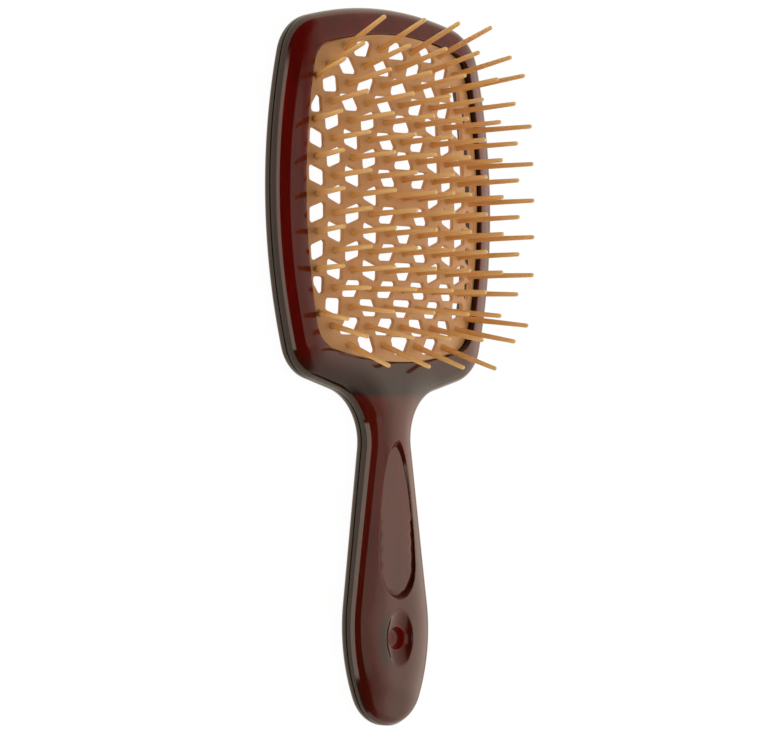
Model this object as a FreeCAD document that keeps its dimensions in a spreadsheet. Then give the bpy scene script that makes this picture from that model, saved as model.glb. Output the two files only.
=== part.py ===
import FreeCAD, Part
import math
import os

# A detangling brush: two half shells that make a ring and its handle, and a domed, open pin
# pad held by its flange between them. It lies on its back with the pins up along +Z and the
# handle along -Y. The origin is the middle of its footprint, on the table.

# Driving sizes in millimetres and degrees, and counts.
SIZES = {
    # Outline of the two shells, seen from the front.
    "overall_length": 210,
    "pad_place": 56.2,
    "head_width": 87.6,
    "head_side_radius": 175,
    "head_end_radius": 112,
    "head_corner_radius": 14.5,
    "shoulder_corner_radius": 12,
    "shoulder_angle": 16.2,
    "neck_width": 17.1,
    "neck_radius": 15.6,
    "neck_place": 70.8,
    "handle_width": 31.2,
    "handle_side_radius": 54,
    "handle_tip_radius": 12.5,
    # Window of the ring.
    "window_width": 71.2,
    "window_length": 96,
    "window_side_radius": 185,
    "window_end_radius": 95,
    "window_corner_radius": 8.5,
    # Section of the shells.
    "body_thickness": 10.6,
    "seam_height": 3.5,
    "face_slope_width": 7.8,
    "face_slope_drop": 3,
    "front_edge_radius": 4,
    "back_edge_radius": 2.9,
    "outer_wall": 4.1,
    "floor_thickness": 2,
    "lip_thickness": 3,
    "fit_clearance": 0.1,
    "weld_depth": 0.5,
    "tongue_height": 0.7,
    "tongue_inset": 1.4,
    "tongue_wall": 1.2,
    "back_window_margin": 1.5,
    "rail_wall": 1.8,
    # Pegs that join the shells inside the handle.
    "peg_radius": 1.5,
    "socket_wall": 1.4,
    "peg_height": 4,
    # Hang hole, its scoop and the bare label recess.
    "hang_hole_radius": 3.2,
    "hang_hole_place": 25.5,
    "hang_boss_radius": 6.6,
    "scoop_width": 10.6,
    "scoop_length": 16.8,
    "scoop_depth": 1.9,
    "label_top_place": 69.5,
    "label_length": 47,
    "label_top_radius": 3.4,
    "label_end_radius": 7.4,
    "label_depth": 1.2,
    # Pin pad: a domed net with a skirt and a flange.
    "net_rise": 14,
    "dome_cross_radius": 126,
    "dome_long_radius": 370,
    "net_thickness": 1.3,
    "skirt_thickness": 1.5,
    "flange_thickness": 1.2,
    "flange_reach": 3.9,
    "pad_side_clearance": 0.3,
    "pad_rest_clearance": 0.15,
    "pad_travel": 1.5,
    "flange_stop_gap": 0.3,
    "field_width": 62.2,
    "row_pitch": 10.8,
    "corner_pin_inset": 1.3,
    # Pins.
    "pin_length": 20.6,
    "pin_root_radius": 0.88,
    "pin_tip_radius": 0.64,
    "pin_root_depth": 0.6,
    "side_splay": 22,
    "end_splay": 20,
    # How far a cutting tool runs past what it cuts.
    "overrun": 1,
}

# Columns of pins at each side of the middle one, as shares of half the field's width.
COLUMN_SHARES = (0, 0.209, 0.415, 0.617, 0.813, 1)
# Pins and holes by column, from the middle one out, in half row pitches from the pad's centre.
EVEN_ROWS = (-8, -6, -4, -2, 0, 2, 4, 6, 8)
ODD_ROWS = (-7, -5, -3, -1, 1, 3, 5, 7)
PIN_ROWS = (ODD_ROWS, EVEN_ROWS, ODD_ROWS, EVEN_ROWS, ODD_ROWS, (-4, -2, 0, 2, 4))
HOLE_ROWS = (
    (-8, -6, -4, -2, 2, 4, 6, 8),
    ODD_ROWS,
    EVEN_ROWS,
    ODD_ROWS,
    (-6, -4, -2, 0, 2, 4, 6),
    (-5, -3, -1, 1, 3, 5),
)
CORNER_ROW_SHARE = 6.35
# The last row whose holes have upright sides.
LAST_SIDE_ROW = 4
# How a pin's splay grows from the middle to the edge. Sideways, part of it grows evenly.
EVEN_SPLAY_SHARE = 0.26
SIDE_SPLAY_POWER = 3
END_SPLAY_POWER = 4
# Net holes, as shares of the column pitch across and of half the row pitch along.
SIDE_HOLE_SHARES = {"half_width": 0.42, "half_side": 0.44, "slant": 0.19}
MID_HOLE_SHARES = {"half_width": 0.42, "outer_half": 0.17, "inner_half": 0.62}
FLAT_HOLE_SHARES = {"half_width": 0.42, "half_side": 0.45, "lean": 0.18}
CENTRE_HOLE_SHARES = {"wide_half": 0.62, "narrow_half": 0.29, "half_side": 0.47}
# The two holes at each corner of the field, by column and row.
CORNER_HOLE_SHARES = {
    (5, 5): {"half_width": 0.4, "base": 0.6, "tip": 0.7, "shift": -0.2},
    (4, 6): {"half_width": 0.42, "base": 0.47, "tip": 0.5, "shift": 0.15},
}
# Pegs along the handle, as shares of the way from the neck to the tip.
PEG_SHARES = (-0.04, 0.17, 0.43, 0.88)
# The most of its wall that the sloping face may take, and of the handle's length that the
# round of its flank may take.
SLOPE_LIMIT_SHARE = 0.92
FLANK_LIMIT_SHARE = 0.66
# Two places closer than this are one.
TOUCH = 1e-6

doc = FreeCAD.newDocument("detangling_brush")
sheet = doc.addObject("Spreadsheet::Sheet", "sizes")
for line, (alias, value) in enumerate(SIZES.items(), 1):
    sheet.set(f"A{line}", alias)
    sheet.set(f"B{line}", str(value))
    sheet.setAlias(f"B{line}", alias)
doc.recompute()


def size(alias):
    return float(sheet.get(alias))


UP = FreeCAD.Vector(0, 0, 1)
ACROSS = FreeCAD.Vector(1, 0, 0)
ORIGIN = FreeCAD.Vector(0, 0, 0)


def at(x, y, z=0):
    return FreeCAD.Vector(x, y, z)


# Places along the brush: the pad's centre, the handle's tip and the hang hole.
PAD_Y = size("overall_length") / 2 - size("pad_place")
TIP_Y = -size("overall_length") / 2
HANG_Y = TIP_Y + size("hang_hole_place")
# Heights up from the back, as the sheet works them out: under the lip and under the flange.
LIP_UNDER = "(sizes.body_thickness - sizes.lip_thickness)"
FLANGE_UNDER = f"({LIP_UNDER} - sizes.pad_rest_clearance - sizes.flange_thickness)"


def direction(start, end):
    return (end - start).normalize()


def arcBetween(start, end, centre):
    """The short arc about a centre."""
    radius = (start - centre).Length
    middle = centre + ((start - centre) + (end - centre)).normalize() * radius
    return Part.Arc(start, middle, end).toShape()


def lineBetween(start, end):
    return Part.LineSegment(start, end).toShape()


def circlesMeet(first, firstReach, second, secondReach, side):
    """The point at given distances from two others, on one side of the line joining them."""
    gap = (second - first).Length
    along = (gap ** 2 + firstReach ** 2 - secondReach ** 2) / (2 * gap)
    out = math.sqrt(firstReach ** 2 - along ** 2)
    ahead = direction(first, second)
    return first + ahead * along + at(-ahead.y, ahead.x) * out * side


def mirrored(edges):
    return [edge.mirror(ORIGIN, ACROSS) for edge in edges]


def faceOf(edges):
    return Part.Face(Part.Wire(Part.__sortEdges__(edges)))


def brushOutline():
    """Ring and handle in one outline of arcs and two straight stretches a side."""
    halfHead = size("head_width") / 2
    sideRadius = size("head_side_radius")
    endRadius = size("head_end_radius")
    cornerRadius = size("head_corner_radius")
    lowRadius = size("shoulder_corner_radius")
    neckRadius = size("neck_radius")
    tipRadius = size("handle_tip_radius")
    side = at(halfHead - sideRadius, PAD_Y)
    end = at(0, size("overall_length") / 2 - endRadius)
    corner = circlesMeet(side, sideRadius - cornerRadius, end, endRadius - cornerRadius, 1)
    neck = at(size("neck_width") / 2 + neckRadius, PAD_Y - size("neck_place"))
    slope = math.radians(size("shoulder_angle"))
    along = at(math.cos(slope), math.sin(slope))
    inward = at(-math.sin(slope), math.cos(slope))
    shoulderStart = neck + inward * neckRadius
    # The shoulder's corner rolls along the shoulder until it touches the side.
    lowStart = shoulderStart + inward * lowRadius
    reach = sideRadius - lowRadius
    offset = lowStart - side
    half = offset.dot(along)
    roll = -half + math.sqrt(half ** 2 - offset.dot(offset) + reach ** 2)
    low = lowStart + along * roll
    tip = at(0, TIP_Y + tipRadius)
    flankRadius = min(size("handle_side_radius"), FLANK_LIMIT_SHARE * (neck.y - TIP_Y))
    flankX = size("handle_width") / 2 - flankRadius
    flank = at(flankX, tip.y + math.sqrt((flankRadius - tipRadius) ** 2 - flankX ** 2))
    # The straight flank touches the neck's circle and the handle's from opposite sides.
    between = neck - flank
    turn = math.atan2(between.y, between.x) - math.acos((neckRadius + flankRadius) / between.Length)
    across = at(math.cos(turn), math.sin(turn))
    points = [
        end + direction(end, corner) * endRadius,
        side + direction(side, corner) * sideRadius,
        side + direction(side, low) * sideRadius,
        low - inward * lowRadius,
        shoulderStart,
        neck - across * neckRadius,
        flank + across * flankRadius,
        flank + direction(flank, tip) * flankRadius,
    ]
    right = [
        arcBetween(points[0], points[1], corner),
        arcBetween(points[1], points[2], side),
        arcBetween(points[2], points[3], low),
        lineBetween(points[3], points[4]),
        arcBetween(points[4], points[5], neck),
        lineBetween(points[5], points[6]),
        arcBetween(points[6], points[7], flank),
    ]
    head = arcBetween(at(-points[0].x, points[0].y), points[0], end)
    foot = Part.Arc(points[7], at(0, TIP_Y), at(-points[7].x, points[7].y)).toShape()
    return faceOf([head, foot] + right + mirrored(right))


def windowOutline():
    """The ring's window: two bowed sides, two bowed ends and round corners."""
    sideRadius = size("window_side_radius")
    endRadius = size("window_end_radius")
    cornerRadius = size("window_corner_radius")
    side = at(size("window_width") / 2 - sideRadius, PAD_Y)
    end = at(0, PAD_Y + size("window_length") / 2 - endRadius)
    corner = circlesMeet(side, sideRadius - cornerRadius, end, endRadius - cornerRadius, 1)
    top = end + direction(end, corner) * endRadius
    right = side + direction(side, corner) * sideRadius
    quarter = [arcBetween(top, right, corner)]
    half = quarter + [edge.mirror(at(0, PAD_Y), at(0, 1)) for edge in quarter]
    half.append(arcBetween(right, at(right.x, 2 * PAD_Y - right.y), side))
    head = arcBetween(at(-top.x, top.y), top, end)
    foot = head.mirror(at(0, PAD_Y), at(0, 1))
    return faceOf([head, foot] + half + mirrored(half))


def labelOutline():
    """A drop shape: a small round top, straight sides and a large round end."""
    topRadius = size("label_top_radius")
    endRadius = size("label_end_radius")
    top = at(0, PAD_Y - size("label_top_place") - topRadius)
    end = at(0, PAD_Y - size("label_top_place") - size("label_length") + endRadius)
    tilt = math.asin((endRadius - topRadius) / (top - end).Length)
    outward = at(math.cos(tilt), math.sin(tilt))
    highPoint = top + outward * topRadius
    lowPoint = end + outward * endRadius
    cap = Part.Arc(highPoint, top + at(0, topRadius), at(-highPoint.x, highPoint.y)).toShape()
    foot = Part.Arc(lowPoint, end - at(0, endRadius), at(-lowPoint.x, lowPoint.y)).toShape()
    flank = lineBetween(highPoint, lowPoint)
    return faceOf([cap, foot, flank] + mirrored([flank]))


def shapeFeature(name, shape):
    feature = doc.addObject("Part::Feature", name)
    feature.Shape = shape
    return feature


def inset(name, base, amount):
    """The outline drawn in by an amount, or let out where it is negative."""
    offset = doc.addObject("Part::Offset2D", name)
    offset.Source = base
    offset.setExpression("Value", f"-({amount})")
    return offset


def raised(name, base, bottom, height):
    """A straight solid over a flat outline, from a height up."""
    solid = doc.addObject("Part::Extrusion", name)
    solid.Base = base
    solid.DirMode = "Custom"
    solid.Dir = UP
    solid.Solid = True
    solid.setExpression("LengthFwd", height)
    solid.setExpression("Placement.Base.z", bottom)
    return solid


def cylinder(name, radius, bottom, height, y):
    post = doc.addObject("Part::Cylinder", name)
    post.setExpression("Radius", radius)
    post.setExpression("Height", height)
    post.setExpression("Placement.Base.z", bottom)
    post.Placement.Base.y = y
    return post


def cut(name, base, tool):
    result = doc.addObject("Part::Cut", name)
    result.Base = base
    result.Tool = tool
    result.Refine = False
    return result


def fuse(name, parts):
    result = doc.addObject("Part::MultiFuse", name)
    result.Shapes = parts
    result.Refine = True
    return result


def common(name, parts):
    result = doc.addObject("Part::MultiCommon", name)
    result.Shapes = parts
    return result


def edgesAt(shape, height):
    """Numbers of the edges that lie flat at a height."""
    bounds = [edge.BoundBox for edge in shape.Edges]
    return [number for number, box in enumerate(bounds, 1)
            if abs(box.ZMin - height) < TOUCH and abs(box.ZMax - height) < TOUCH]


def makeBlank():
    """The two shells as one: a sloping front face, a round front edge and a round back edge."""
    straight = raised("blank_straight", outline, "0", "sizes.body_thickness")
    doc.recompute()
    slopeWidth = min(size("face_slope_width"), SLOPE_LIMIT_SHARE * size("neck_width") / 2)
    slopeDrop = size("face_slope_drop")
    sloped = doc.addObject("Part::Chamfer", "blank_sloped")
    sloped.Base = straight
    top = edgesAt(straight.Shape, size("body_thickness"))
    sloped.Edges = [(number, slopeDrop, slopeWidth) for number in top]
    doc.recompute()
    rounded = doc.addObject("Part::Fillet", "blank_rounded")
    rounded.Base = sloped
    front = edgesAt(sloped.Shape, size("body_thickness") - slopeDrop)
    back = edgesAt(sloped.Shape, 0)
    frontRadius = size("front_edge_radius")
    backRadius = size("back_edge_radius")
    rounded.Edges = ([(number, frontRadius, frontRadius) for number in front]
                     + [(number, backRadius, backRadius) for number in back])
    return rounded


def slab():
    """Everything above the seam."""
    box = doc.addObject("Part::Box", "above_seam")
    box.setExpression("Length", "sizes.head_width + 2 * sizes.overrun")
    box.setExpression("Width", "sizes.overall_length + 2 * sizes.overrun")
    box.setExpression("Height", "sizes.body_thickness")
    box.setExpression("Placement.Base.x", "-Length / 2")
    box.setExpression("Placement.Base.y", "-Width / 2")
    box.setExpression("Placement.Base.z", "sizes.seam_height")
    return box


def ring(name, base, outer, inner, bottom, height):
    """A wall between two insets of one outline."""
    body = raised(name + "_body", inset(name + "_outer", base, outer), bottom, height)
    hollow = raised(name + "_hollow", inset(name + "_inner", base, inner),
                    f"{bottom} - sizes.overrun", f"{height} + 2 * sizes.overrun")
    return cut(name, body, hollow)


def posts(name, radius, bottom, height):
    """One post at each peg's place along the handle."""
    neckY = PAD_Y - size("neck_place")
    return [cylinder(f"{name}_{count}", radius, bottom, height, neckY + share * (TIP_Y - neckY))
            for count, share in enumerate(PEG_SHARES, 1)]


def scoop():
    """The dished place round the hang hole."""
    bowl = doc.addObject("Part::Ellipsoid", "scoop")
    bowl.setExpression("Radius1", "sizes.scoop_depth")
    bowl.setExpression("Radius2", "sizes.scoop_width / 2")
    bowl.setExpression("Radius3", "sizes.scoop_length / 2")
    bowl.Angle1 = -90
    bowl.setExpression("Placement.Base.z", "sizes.body_thickness")
    bowl.Placement.Base.y = HANG_Y
    return bowl


def makeFrontShell(blank, above):
    upper = common("front_block", [blank, above])
    opening = raised("front_opening", window, "sizes.seam_height - sizes.overrun",
                     "sizes.body_thickness")
    hollow = raised("front_hollow", inset("front_hollow_outline", outline, "sizes.outer_wall"),
                    "sizes.seam_height - sizes.overrun",
                    f"{LIP_UNDER} - sizes.seam_height + sizes.overrun")
    groove = ring("groove", outline, "sizes.tongue_inset - sizes.fit_clearance",
                  "sizes.tongue_inset + sizes.tongue_wall + sizes.fit_clearance",
                  "sizes.seam_height - sizes.overrun",
                  "sizes.tongue_height + sizes.fit_clearance + sizes.overrun")
    recess = raised("label_recess", label, "sizes.body_thickness - sizes.label_depth",
                    "sizes.label_depth + sizes.overrun")
    carved = cut("front_carved", upper,
                 fuse("front_tools", [opening, hollow, groove, recess, scoop()]))
    reach = f"{LIP_UNDER} - sizes.seam_height + sizes.weld_depth"
    sockets = posts("socket", "sizes.peg_radius + sizes.socket_wall", "sizes.seam_height", reach)
    boss = cylinder("front_boss", "sizes.hang_boss_radius", "sizes.seam_height", reach, HANG_Y)
    solid = fuse("front_solid", [carved, boss] + sockets)
    bores = posts("socket_bore", "sizes.peg_radius + sizes.fit_clearance",
                  "sizes.seam_height - sizes.overrun",
                  "sizes.peg_height + sizes.fit_clearance + sizes.overrun")
    hole = cylinder("front_hole", "sizes.hang_hole_radius", "0", "2 * sizes.body_thickness", HANG_Y)
    return cut("front_shell", solid, fuse("front_bores", bores + [hole]))


def makeBackShell(blank, above):
    lower = cut("back_block", blank, above)
    margin = "sizes.back_window_margin"
    opening = raised("back_opening", inset("back_window", window, f"-{margin}"),
                     "-sizes.overrun", "2 * sizes.body_thickness")
    hollow = raised("back_hollow", inset("back_hollow_outline", outline, "sizes.outer_wall"),
                    "sizes.floor_thickness", "sizes.body_thickness")
    carved = cut("back_carved", lower, hollow)
    rail = raised("rail", inset("rail_outline", window, f"-({margin} + sizes.rail_wall)"), "0",
                  f"{FLANGE_UNDER} - sizes.pad_travel - sizes.flange_stop_gap")
    tongue = ring("tongue", outline, "sizes.tongue_inset",
                  "sizes.tongue_inset + sizes.tongue_wall",
                  "sizes.seam_height - sizes.weld_depth", "sizes.tongue_height + sizes.weld_depth")
    boss = cylinder("back_boss", "sizes.hang_boss_radius", "sizes.floor_thickness / 2",
                    "sizes.seam_height - sizes.floor_thickness / 2", HANG_Y)
    pegs = posts("peg", "sizes.peg_radius", "sizes.floor_thickness / 2",
                 "sizes.seam_height + sizes.peg_height - sizes.floor_thickness / 2")
    solid = fuse("back_solid", [carved, rail, tongue, boss] + pegs)
    hole = cylinder("back_hole", "sizes.hang_hole_radius", "-sizes.overrun",
                    "2 * sizes.body_thickness", HANG_Y)
    return cut("back_shell", solid, fuse("back_tools", [opening, hole]))


def columnX(column):
    """Where a column stands: counted out from the middle one, negative to the left."""
    share = math.copysign(COLUMN_SHARES[abs(column)], column)
    return share * size("field_width") / 2


def columnPitch(column):
    """The step between a column and its neighbour on the outer side."""
    inner = min(abs(column), len(COLUMN_SHARES) - 2)
    return (COLUMN_SHARES[inner + 1] - COLUMN_SHARES[inner]) * size("field_width") / 2


def sideHole(shares, pitch, step, slant):
    """Upright sides, with the left one raised and the right one lowered by the slant."""
    wide = shares["half_width"] * pitch
    high = shares["half_side"] * step
    lift = shares["slant"] * step * slant
    return [(-wide, -high + lift), (wide, -high - lift), (wide, high - lift), (-wide, high + lift)]


def midHole(shares, pitch, step, outward):
    """A trapezoid on the middle row, narrow on the side away from the centre."""
    wide = shares["half_width"] * pitch * outward
    low = shares["outer_half"] * step
    high = shares["inner_half"] * step
    return [(-wide, -high), (wide, -low), (wide, low), (-wide, high)]


def flatHole(shares, pitch, step, lean):
    """Level ends, and sides that lean."""
    wide = shares["half_width"] * pitch
    high = shares["half_side"] * step
    push = shares["lean"] * pitch * lean
    return [(-wide - push, -high), (wide - push, -high), (wide + push, high), (-wide + push, high)]


def centreHole(shares, pitch, step, ahead):
    """A trapezoid on the middle column, wide on the side towards the centre."""
    wide = shares["wide_half"] * pitch
    narrow = shares["narrow_half"] * pitch
    high = shares["half_side"] * step * ahead
    return [(-wide, -high), (wide, -high), (narrow, high), (-narrow, high)]


def cornerHole(shares, pitch, step, outward, ahead):
    """A triangle in the field's corner: level towards the centre, slanting on the outside."""
    wide = shares["half_width"] * pitch * outward
    base = shares["base"] * step * ahead
    tip = shares["tip"] * step * ahead
    return [(-wide, -base), (wide, -base), (wide, shares["shift"] * step * ahead), (-wide, tip)]


def holeCorners(column, row):
    """The corners of one hole about its middle, by where it lies in the field."""
    pitch = columnPitch(column)
    step = size("row_pitch") / 2
    outward = math.copysign(1, column)
    ahead = math.copysign(1, row)
    if column == 0:
        return centreHole(CENTRE_HOLE_SHARES, pitch, step, ahead)
    if row == 0:
        return midHole(MID_HOLE_SHARES, pitch, step, outward)
    parity = 1 if column % 2 else -1
    slant = -ahead * outward * parity
    if (abs(column), abs(row)) in CORNER_HOLE_SHARES:
        return cornerHole(CORNER_HOLE_SHARES[abs(column), abs(row)], pitch, step, outward, ahead)
    if abs(column) > 1 and abs(row) <= LAST_SIDE_ROW:
        return sideHole(SIDE_HOLE_SHARES, pitch, step, slant)
    return flatHole(FLAT_HOLE_SHARES, pitch, step, -slant)


def netHoles():
    """All the net's holes as flat faces, each kept inside the skirt."""
    inside = hollowOutline.Shape.Faces[0]
    step = size("row_pitch") / 2
    holes = []
    for column in range(1 - len(COLUMN_SHARES), len(COLUMN_SHARES)):
        for row in HOLE_ROWS[abs(column)]:
            middle = at(columnX(column), PAD_Y + row * step)
            corners = [middle + at(*corner) for corner in holeCorners(column, row)]
            wire = Part.makePolygon(corners + corners[:1])
            holes += inside.common(Part.Face(wire)).Faces
    return Part.makeCompound(holes)


def domeHeight(x, y):
    """The height of the net's top, y being measured from the pad's centre."""
    crossRadius = size("dome_cross_radius")
    longRadius = size("dome_long_radius")
    swing = longRadius - crossRadius + math.sqrt(crossRadius ** 2 - x ** 2)
    return size("net_rise") - longRadius + math.sqrt(swing ** 2 - y ** 2)


def dome(name, crossRadius):
    """A ring laid across the pad, whose upper side is the dome or runs under it."""
    shape = doc.addObject("Part::Torus", name)
    shape.setExpression("Radius1", "sizes.dome_long_radius - sizes.dome_cross_radius")
    shape.setExpression("Radius2", crossRadius)
    shape.Placement.Rotation = FreeCAD.Rotation(at(0, 1), 90)
    shape.Placement.Base.y = PAD_Y
    shape.setExpression("Placement.Base.z", "sizes.net_rise - sizes.dome_long_radius")
    return shape


def pinShape():
    """One tapered pin with a round tip, standing on the origin with its root under it."""
    root = size("pin_root_radius")
    tip = size("pin_tip_radius")
    top = size("pin_length")
    bottom = -size("pin_root_depth")
    shoulder = top - tip
    bow = math.sqrt(1 / 2)
    round = Part.Arc(at(tip, 0, shoulder), at(tip * bow, 0, shoulder + tip * bow), at(0, 0, top))
    edges = [
        lineBetween(at(0, 0, bottom), at(root, 0, bottom)),
        lineBetween(at(root, 0, bottom), at(tip, 0, shoulder)),
        round.toShape(),
        lineBetween(at(0, 0, top), at(0, 0, bottom)),
    ]
    return faceOf(edges).revolve(ORIGIN, UP, 360)


def pinPlaces():
    """Where each pin stands, across and from the pad's centre."""
    step = size("row_pitch") / 2
    places = [(0, 0)]
    for column in range(1 - len(COLUMN_SHARES), len(COLUMN_SHARES)):
        places += [(columnX(column), row * step) for row in PIN_ROWS[abs(column)]]
    cornerX = size("field_width") / 2 - size("corner_pin_inset")
    cornerY = CORNER_ROW_SHARE * step
    return places + [(x, y) for x in (-cornerX, cornerX) for y in (-cornerY, cornerY)]


def pinLean(x, y):
    """The way a pin points: out to the side and, near the ends, out along the pad."""
    across = x / (size("field_width") / 2)
    along = y / (max(PIN_ROWS[1]) * size("row_pitch") / 2)
    grown = EVEN_SPLAY_SHARE * across + (1 - EVEN_SPLAY_SHARE) * across ** SIDE_SPLAY_POWER
    side = math.tan(math.radians(size("side_splay"))) * grown
    end = math.tan(math.radians(size("end_splay"))) * math.copysign(along ** END_SPLAY_POWER, y)
    return at(side, end, 1)


def pins():
    """All the pins, each leaning its own way from the dome."""
    pin = pinShape()
    shapes = []
    for x, y in pinPlaces():
        shape = pin.copy()
        lean = FreeCAD.Rotation(UP, pinLean(x, y))
        shape.Placement = FreeCAD.Placement(at(x, PAD_Y + y, domeHeight(x, y)), lean)
        shapes.append(shape)
    return Part.makeCompound(shapes)


def makePinPad():
    height = f"sizes.net_rise - {FLANGE_UNDER} + sizes.overrun"
    block = common("pad_block", [raised("pad_prism", padOutline, FLANGE_UNDER, height),
                                 dome("dome_top", "sizes.dome_cross_radius")])
    hollow = common("pad_hollow", [
        raised("hollow_prism", hollowOutline, f"{FLANGE_UNDER} - sizes.overrun",
               f"{height} + sizes.overrun"),
        dome("dome_underside", "sizes.dome_cross_radius - sizes.net_thickness")])
    cup = cut("pad_cup", block, hollow)
    flange = ring("flange", window, "-(sizes.flange_reach - sizes.pad_side_clearance)",
                  "sizes.pad_side_clearance + sizes.skirt_thickness / 2", FLANGE_UNDER,
                  "sizes.flange_thickness")
    solid = fuse("pad_solid", [cup, flange, shapeFeature("pins", pins())])
    gaps = raised("net_gaps", shapeFeature("net_holes", netHoles()), FLANGE_UNDER, height)
    return cut("pin_pad", solid, gaps)


outline = shapeFeature("brush_outline", brushOutline())
window = shapeFeature("window_outline", windowOutline())
label = shapeFeature("label_outline", labelOutline())
padOutline = inset("pad_outline", window, "sizes.pad_side_clearance")
hollowOutline = inset("pad_hollow_outline", window,
                      "sizes.pad_side_clearance + sizes.skirt_thickness")
blank = makeBlank()
doc.recompute()
above = slab()
pieces = [makeFrontShell(blank, above), makeBackShell(blank, above), makePinPad()]
for piece in pieces:
    piece.Label = piece.Name
doc.recompute()

for item in doc.Objects:
    if "Invalid" in item.State or "Error" in item.State:
        raise RuntimeError(f"{item.Name} failed: {item.State}")
for piece in pieces:
    if piece.Shape.isNull() or not piece.Shape.isValid():
        raise RuntimeError(f"{piece.Label} has no valid shape")

os.makedirs("parts", exist_ok=True)
for piece in pieces:
    piece.Shape.exportStep(os.path.join("parts", piece.Label + ".step"))
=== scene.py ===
import math
import bmesh
import bpy
import numpy as np
from mathutils import Matrix, Vector
from mathutils.geometry import delaunay_2d_cdt


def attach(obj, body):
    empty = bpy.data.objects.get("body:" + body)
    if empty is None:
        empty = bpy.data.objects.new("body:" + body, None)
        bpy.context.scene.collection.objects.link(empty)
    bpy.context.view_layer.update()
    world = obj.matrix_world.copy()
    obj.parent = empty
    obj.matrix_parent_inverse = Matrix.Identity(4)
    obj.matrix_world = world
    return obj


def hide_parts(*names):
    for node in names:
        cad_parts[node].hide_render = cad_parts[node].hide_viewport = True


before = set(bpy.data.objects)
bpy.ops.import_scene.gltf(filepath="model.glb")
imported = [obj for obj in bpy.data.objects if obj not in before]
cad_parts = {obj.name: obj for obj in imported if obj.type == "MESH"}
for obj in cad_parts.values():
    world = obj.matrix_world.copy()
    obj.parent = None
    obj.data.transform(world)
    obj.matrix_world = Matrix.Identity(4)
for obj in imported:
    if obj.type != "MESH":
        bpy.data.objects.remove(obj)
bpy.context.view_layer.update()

# A detangling brush that lies on its back: pins up along +Z, handle along -Y.
# Every length below is in millimetres and becomes metres where a mesh is made.
millimetre = 0.001

outlineShape = {
    "length": 210.0,
    "padCentreY": 48.8,
    "headWidth": 87.6,
    "sideRadius": 175.0,
    "endRadius": 112.0,
    "cornerRadius": 14.5,
    "shoulderCornerRadius": 12.0,
    "shoulderAngle": 16.2,
    "neckWidth": 17.1,
    "neckRadius": 15.6,
    "neckY": -22.0,
    "handleWidth": 31.2,
    "flankRadius": 54.0,
    "tipRadius": 12.5,
    "step": 0.7,
}

windowShape = {
    "width": 71.2,
    "length": 96.0,
    "sideRadius": 185.0,
    "endRadius": 95.0,
    "cornerRadius": 8.5,
    "step": 0.7,
}


def unit(vector):
    return vector / np.linalg.norm(vector)


# Points of a circle between two of its points, the short way round.
def arcPoints(centre, start, end, step):
    first = math.atan2(*(start - centre)[::-1])
    turn = math.atan2(*(end - centre)[::-1]) - first
    turn = (turn + math.pi) % (2 * math.pi) - math.pi
    radius = np.linalg.norm(start - centre)
    count = max(2, int(abs(turn) * radius / step) + 1)
    angles = first + turn * np.linspace(0, 1, count)
    return centre + radius * np.stack([np.cos(angles), np.sin(angles)], 1)


# Where two circles about two centres meet, on the left of the line between the centres.
def circlesMeet(first, firstReach, second, secondReach):
    gap = np.linalg.norm(second - first)
    along = (gap ** 2 + firstReach ** 2 - secondReach ** 2) / (2 * gap)
    ahead = unit(second - first)
    left = np.array([-ahead[1], ahead[0]])
    return first + ahead * along + left * math.sqrt(firstReach ** 2 - along ** 2)


# The same closed line with its points spaced evenly along its length.
def evenly(points, step):
    points = np.vstack([points, points[:1]])
    steps = np.linalg.norm(np.diff(points, axis=0), axis=1)
    points = points[np.append(True, steps > 1e-9)]
    places = np.append(0, np.cumsum(np.linalg.norm(np.diff(points, axis=0), axis=1)))
    count = int(round(places[-1] / step))
    wanted = np.linspace(0, places[-1], count + 1)[:-1]
    return np.stack([np.interp(wanted, places, points[:, axis]) for axis in range(2)], 1)


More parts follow.
